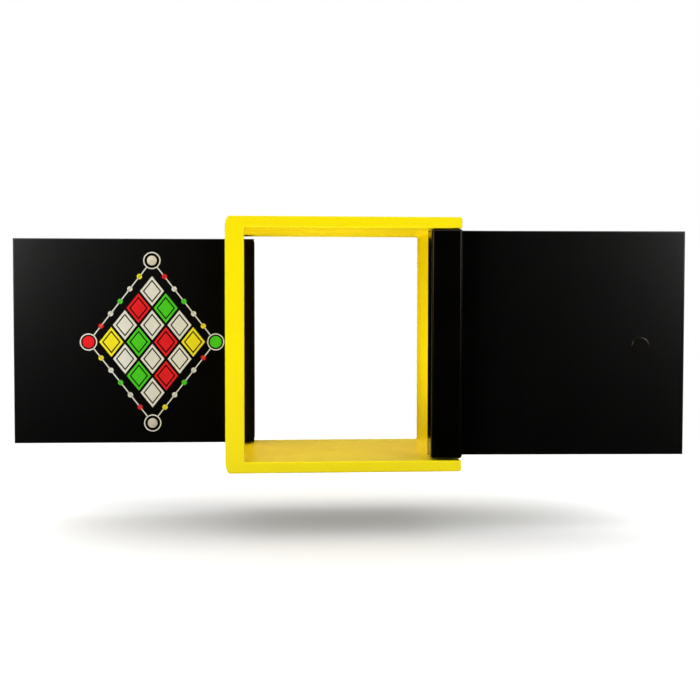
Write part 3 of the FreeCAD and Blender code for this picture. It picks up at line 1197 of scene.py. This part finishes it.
@dataclass
class Studio:
    """White studio: camera, lamps, backdrop, and a pale floor some way under the hovering box."""

    camera_place: tuple[float, float, float] = (-0.0780, -1.0724, 0.1401)
    yaw: float = 0.0828
    pitch: float = -0.0422
    roll: float = 0.00136
    lens: float = 64.528
    sensor: float = 36.0
    floor_height: float = -0.052
    floor_radius: float = 0.85
    floor_steps: int = 96
    floor_fade: tuple[float, float] = (0.55, 0.97)
    floor_reach: tuple[float, float] = (0.15, 0.4)
    floor_colour: Colour = (0.5, 0.5, 0.5)
    floor_glow: tuple[float, float] = (0.71, 0.92)
    floor_bounce: float = 1.75
    shade_middle: tuple[float, float, float] = (0.014, 0.006, 0.0)
    shade_reach: tuple[float, float] = (0.26, 0.07)
    shade_depth: float = 0.55
    back_light: float = 0.6
    back_reach: tuple[float, float] = (-0.1, 0.5)
    high_reach: tuple[float, float] = (0.05, 0.45)
    side_lamps: tuple[Softbox, ...] = (
        Softbox("left_softbox", (-1.06, -1.32, 0.66), (0.8, 1.0), 10.8),
        Softbox("right_softbox", (1.06, -1.32, 0.66), (0.8, 1.0), 10.8),
    )
    sky_lamp: Softbox = Softbox("sky_panel", (0.0, 0.0, 1.45), (2.2, 2.2), 20.0, (0.0, 0.0, 0.0))
    inner_lamp: Softbox = Softbox(
        "inner_fill", (-0.015, 0.0, 0.014), (0.12, 0.14), 0.14, (-0.015, 0.0, 0.2), mirrored=False, beam=2.4
    )

    def set_camera(self) -> None:
        """Puts the camera at the photograph's viewing point."""
        data = bpy.data.cameras.new("camera")
        data.sensor_width, data.lens = self.sensor, self.lens
        camera = bpy.data.objects.new("camera", data)
        flat = math.cos(self.pitch)
        forward = Vector((math.sin(self.yaw) * flat, math.cos(self.yaw) * flat, math.sin(self.pitch)))
        camera.location = self.camera_place
        camera.rotation_mode = "QUATERNION"
        camera.rotation_quaternion = forward.to_track_quat("-Z", "Y") @ Quaternion((0, 0, 1), self.roll)
        bpy.context.scene.collection.objects.link(camera)
        bpy.context.scene.camera = camera

    def set_backdrop(self) -> None:
        """Makes the world white to the camera, and otherwise bright high up behind the box, dark in front."""
        world = bpy.data.worlds.new("studio")
        world.use_nodes = True
        tree = Tree(world.node_tree)
        way = tree.add("SeparateXYZ", {0: tree.add("TexCoord").outputs["Generated"]}).outputs
        behind = tree.spread(way["Y"], *self.back_reach, 0.0, self.back_light)
        room = tree.math("MULTIPLY", behind, tree.spread(way["Z"], *self.high_reach))
        seen = tree.add("LightPath").outputs["Is Camera Ray"]
        strength = tree.math("MAXIMUM", seen, room)
        glow = tree.add("Background", {"Color": (1.0, 1.0, 1.0, 1.0), "Strength": strength})
        tree.add("OutputWorld", {"Surface": glow.outputs[0]})
        bpy.context.scene.world = world

    def soft_shade(self, tree: Tree, flat: Socket) -> Socket:
        """Soft oval shade under the box: a parabola along x times a bell curve along y.

        Args:
            tree: Tree of the floor's material.
            flat: Place on the floor.

        Returns:
            How dark the floor is, from 0 to the depth of the shade.
        """
        off = tree.add("VectorMath", {0: flat, 1: self.shade_middle}, operation="SUBTRACT").outputs[0]
        reach = (*self.shade_reach, 1.0)
        share = tree.add("VectorMath", {0: off, 1: reach}, operation="DIVIDE").outputs[0]
        squares = tree.add("VectorMath", {0: share, 1: share}, operation="MULTIPLY").outputs[0]
        square = tree.add("SeparateXYZ", {0: squares}).outputs
        along = tree.math("SUBTRACT", 1.0, square["X"], clamp=True)
        across = tree.math("EXPONENT", tree.math("MULTIPLY", square["Y"], -0.5))
        return tree.math("MULTIPLY", tree.math("MULTIPLY", along, across), self.shade_depth)

    def lay_floor(self) -> bpy.types.Object:
        """Lays a round pale floor that fades out at its rim and keeps the box's shadow.

        Returns:
            The floor.
        """
        turn = np.linspace(0, 2 * np.pi, self.floor_steps, endpoint=False)
        level = np.full(self.floor_steps, self.floor_height)
        rim = [self.floor_radius * np.cos(turn), self.floor_radius * np.sin(turn), level]
        mesh = bpy.data.meshes.new("floor")
        mesh.from_pydata(np.stack(rim, axis=-1).tolist(), [], [list(range(self.floor_steps))])
        floor = bpy.data.objects.new("floor", mesh)
        bpy.context.scene.collection.objects.link(floor)
        tree, material = start_material("pale_floor")
        source = tree.add("TexCoord").outputs["Object"]
        flat = tree.add("VectorMath", {0: source, 1: (1.0, 1.0, 0.0)}, operation="MULTIPLY").outputs[0]
        away = tree.add("VectorMath", {0: flat}, operation="LENGTH").outputs["Value"]
        fade = tree.spread(away, *(share * self.floor_radius for share in self.floor_fade))
        seen = tree.add("LightPath").outputs["Is Camera Ray"]
        open_floor = tree.math("SUBTRACT", 1.0, self.soft_shade(tree, flat))
        colour = tree.blend(open_floor, (0.0, 0.0, 0.0), self.floor_colour)
        lit = tree.add("BsdfDiffuse", {"Color": colour})
        pale = tree.math("MULTIPLY", open_floor, tree.spread(away, *self.floor_reach, *self.floor_glow))
        pale = tree.math("MULTIPLY", pale, seen)
        bounce = tree.spread(away, *self.floor_reach, 0.0, self.floor_bounce)
        unseen = tree.math("MULTIPLY", bounce, tree.math("SUBTRACT", 1.0, seen))
        glow = tree.add("Emission", {"Strength": tree.math("ADD", pale, unseen)})
        both = tree.add("AddShader", {0: lit.outputs[0], 1: glow.outputs[0]})
        clear = tree.add("BsdfTransparent")
        ground = tree.add("MixShader", {0: fade, 1: both.outputs[0], 2: clear.outputs[0]})
        tree.add("OutputMaterial", {"Surface": ground.outputs[0]})
        dress(floor, material)
        floor.visible_glossy = False
        return floor

    def hang_lamps(self, floor: bpy.types.Object) -> None:
        """Hangs the lamps: sky panel, fill lamp inside the frame, and side lamps that leave the floor out.

        Args:
            floor: The floor, which the side lamps don't light.
        """
        apart = bpy.data.collections.new("side_lamp_receivers")
        apart.objects.link(floor)
        apart.collection_objects[0].light_linking.link_state = "EXCLUDE"
        for lamp in self.side_lamps:
            lamp.hang().light_linking.receiver_collection = apart
        self.sky_lamp.hang()
        self.inner_lamp.hang()

    def build(self) -> None:
        """Sets up the whole studio."""
        self.set_camera()
        self.set_backdrop()
        self.hang_lamps(self.lay_floor())
        bpy.context.scene.view_settings.view_transform = "Standard"


def main() -> None:
    """Builds the object piece by piece, then the studio."""
    logging.basicConfig(level=logging.INFO, format="%(name)s: %(message)s")
    Studio().build()
    painted = PaintedFrame()
    painted.build()
    painted.dress_hidden()
    front = SwingDoor("front", "front_door_swing", -3.0)
    back = SwingDoor("back", "back_door_swing", 178.5)
    for door in (front, back):
        door.dress_blocks()
        door.build_disc()
        door.build_washer()
    Rivets(back).build()
    LozengePrint(back).build()


if __name__ == "__main__":
    main()
